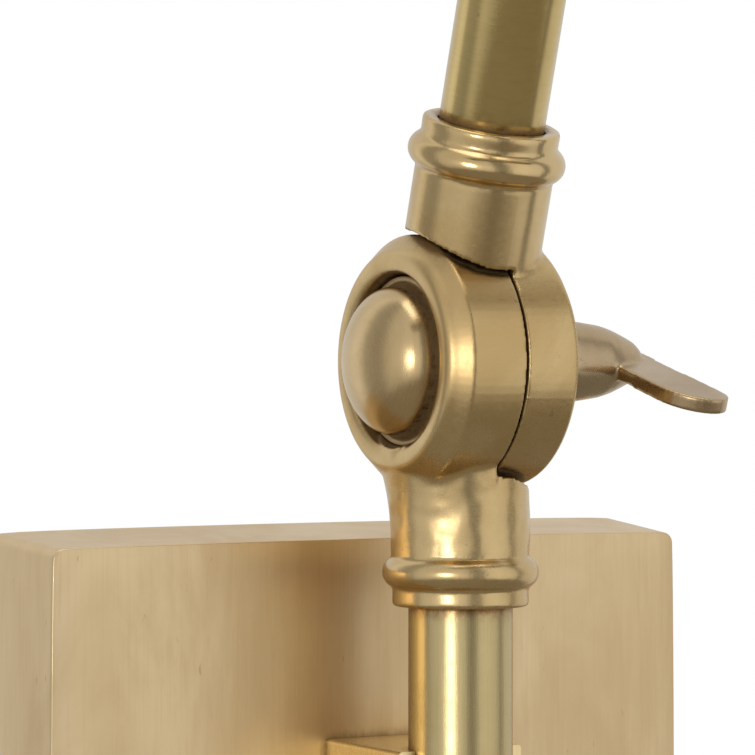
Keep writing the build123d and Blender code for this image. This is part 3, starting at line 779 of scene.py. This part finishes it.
# ---------------------------------------------------------------- bolts and wing nuts
WING_LENGTH = 22.8
WING_THICKNESS = 2.35
WING_LEAN = 2.2
SECOND_WING_TURN = 172
LOW_NUT_TURN = 18
HIGH_NUT_TURN = 35


def domed_bolt(name):
    """Shank with a flat foot that fills the recess and a low dome on it."""
    radius, base, rise = 11.3, 11.7, 6.7
    dome = [(radius * math.cos(a), base + rise * math.sin(a)) for a in [math.radians(5 * i) for i in range(1, 18)]]
    foot = [(12.8, 8.65), (12.8, 10.3), (12.5, 10.05), (12.1, 10.05), (11.75, 10.3), (11.45, 10.9), (11.34, 11.6)]
    outline = [(3.0, -22), (3.0, 8.65)] + foot + dome + [(0, base + rise)]
    return place(turned(name, outline), TO_MINUS_X)


for name, spot, body, node, paint in (
    ("post_bolt", post_place, "wall", "post_pivot_bolt", TURNED),
    ("elbow_bolt", elbow_place, "shade", "elbow_pivot_bolt", TURNED_HIGH),
):
    finish_piece(place(domed_bolt(name), spot), paint, body, [node], 50)


def wing():
    """One blade along -Y: a slab with a rounded far end that leans out from the knuckle."""
    deselect()
    bpy.ops.mesh.primitive_cube_add(size=1, location=(29.5 * MM, -WING_LENGTH / 2 * MM, 0))
    piece = named("wing")
    piece.scale = (9.6 * MM, WING_LENGTH * MM, WING_THICKNESS * MM)
    freeze(piece)
    far = -20
    select_where(piece, "vertices", lambda spots: spots[0].y < far)
    bpy.ops.transform.translate(value=(WING_LEAN * MM, 0, 0))
    bpy.ops.object.mode_set(mode="OBJECT")
    for radius, at_corner in ((4.0, lambda x: x > 34.5), (7.0, lambda x: x < 30)):
        select_where(piece, "edges", lambda spots: abs(spots[0].z - spots[1].z) > 1
                     and abs(spots[0].y - spots[1].y) < 1e-3 and at_corner(spots[0].x) and spots[0].y < far)
        bpy.ops.mesh.bevel(offset=radius * MM, segments=8, affect="EDGES")
        bpy.ops.object.mode_set(mode="OBJECT")
    return piece


def wing_nut(name):
    """Tapered hub with two wings and a plain hole for the bolt's thread."""
    hub = [(6.5, 10.2), (6.6, 14), (6.5, 18), (6.2, 21), (5.7, 24.7), (5.1, 26.8), (4.2, 29), (3.3, 31), (2.2, 32.3),
           (0, 33)]
    piece = place(turned(name, hub), TO_PLUS_X)
    join_solid(piece, wing())
    join_solid(piece, place(wing(), about_x(SECOND_WING_TURN)))
    join_solid(piece, place(turned("thread", [(3.1, 5), (3.1, 22.5)]), TO_PLUS_X), "DIFFERENCE")

    def root(co):
        outside = (co.y * co.y + co.z * co.z) ** 0.5
        return 1.0 if co.x > 19 and 2.5 < outside < 10 else 0.0

    return cast(piece, 0.26, 4, root, 24)


low_nut = wing_nut("post_wings")
high_nut = copy_of(low_nut, "elbow_wings")
place(low_nut, post_place @ about_x(LOW_NUT_TURN))
place(high_nut, elbow_place @ about_x(HIGH_NUT_TURN))
finish_piece(low_nut, NUT, "post_nut", ["post_wing_nut"])
finish_piece(high_nut, NUT, "elbow_nut", ["elbow_wing_nut"])


# ---------------------------------------------------------------- wall cover
COVER_FACE = 113.0
COVER_BACK = 116.6
COVER_DEPTH = 19.5
COVER_BOW = 0.55
COVER_CORNER = 1.7
COVER_SHEET = 1.5


def wall_cover():
    """Pressed square cover: flared, slightly bowed sides, soft corners, open at the wall."""
    deselect()
    bpy.ops.mesh.primitive_cube_add(size=1, location=(0, -COVER_DEPTH / 2 * MM, 0))
    piece = named("wall_cover")
    piece.scale = (COVER_BACK * MM, COVER_DEPTH * MM, COVER_BACK * MM)
    freeze(piece)
    select_where(piece, "polygons", lambda spots: all(spot.y < -19 for spot in spots))
    share = COVER_FACE / COVER_BACK
    bpy.ops.transform.resize(value=(share, 1, share), center_override=(0, -COVER_DEPTH * MM, 0))
    bpy.ops.mesh.select_all(action="SELECT")
    bpy.ops.mesh.subdivide(number_cuts=23)
    bpy.ops.object.mode_set(mode="OBJECT")
    for axis, side in ((0, -1), (0, 1), (2, -1), (2, 1)):
        other = 2 - axis
        select_where(piece, "vertices", lambda spots: spots[0][axis] * side > 55 and abs(spots[0][other]) < 1)
        shift = [0, 0, 0]
        shift[axis] = side * COVER_BOW * MM
        bpy.ops.transform.translate(value=shift, use_proportional_edit=True, proportional_edit_falloff="SPHERE",
                                    proportional_size=58 * MM)
        bpy.ops.object.mode_set(mode="OBJECT")
    select_where(piece, "polygons", lambda spots: all(spot.y > -0.01 for spot in spots))
    bpy.ops.mesh.delete(type="FACE")
    bpy.ops.object.mode_set(mode="OBJECT")
    select_where(piece, "edges", lambda spots: all(abs(spot.x) > 55 and abs(spot.z) > 55 for spot in spots)
                 and abs(spots[0].y - spots[1].y) > 0.1)
    bpy.ops.mesh.bevel(offset=COVER_CORNER * MM, segments=6, affect="EDGES")
    bpy.ops.object.mode_set(mode="OBJECT")
    apply_modifier(piece, "SOLIDIFY", thickness=COVER_SHEET * MM, offset=-1, use_even_offset=True)
    apply_modifier(piece, "BEVEL", width=0.8 * MM, segments=4, limit_method="ANGLE", angle_limit=math.radians(50))
    return piece


finish_piece(wall_cover(), PLATE, "wall", ["backplate"], 30)


# ---------------------------------------------------------------- tubes
TUBE_RADIUS = 8.0
TUBE_WALL = 1.2
POST_FOOT = -130.75
STEM_END = 45.4


def pipe(name, low, high):
    """Drawn tube about Z with its inner wall and slightly rounded ends."""
    deselect()
    bpy.ops.mesh.primitive_cylinder_add(
        vertices=128, radius=TUBE_RADIUS * MM, depth=(high - low) * MM, end_fill_type="NOTHING",
        location=(0, 0, (low + high) / 2 * MM),
    )
    piece = named(name)
    freeze(piece)
    apply_modifier(piece, "SOLIDIFY", thickness=TUBE_WALL * MM, offset=-1)
    apply_modifier(piece, "BEVEL", width=0.15 * MM, segments=2, limit_method="ANGLE", angle_limit=math.radians(50))
    return piece


aside = Matrix.Translation((-SOCKET_SHIFT * MM, 0, 0))
for name, low, high, spot, paint, body, node, slot in (
    ("post_pipe", POST_FOOT, -SEAT_START, post_place, POST, "wall", "post_tube", "post_brass"),
    ("arm_pipe", SEAT_START, arm_length - SEAT_START, arm_place @ aside, ARM, "arm", "arm_tube", "tube_brass"),
    ("stem_pipe", SEAT_START, STEM_END, stem_place, STEM, "shade", "shade_stem", "tube_brass"),
):
    finish_piece(place(pipe(name, low, high), spot), paint, body, [node], 40)
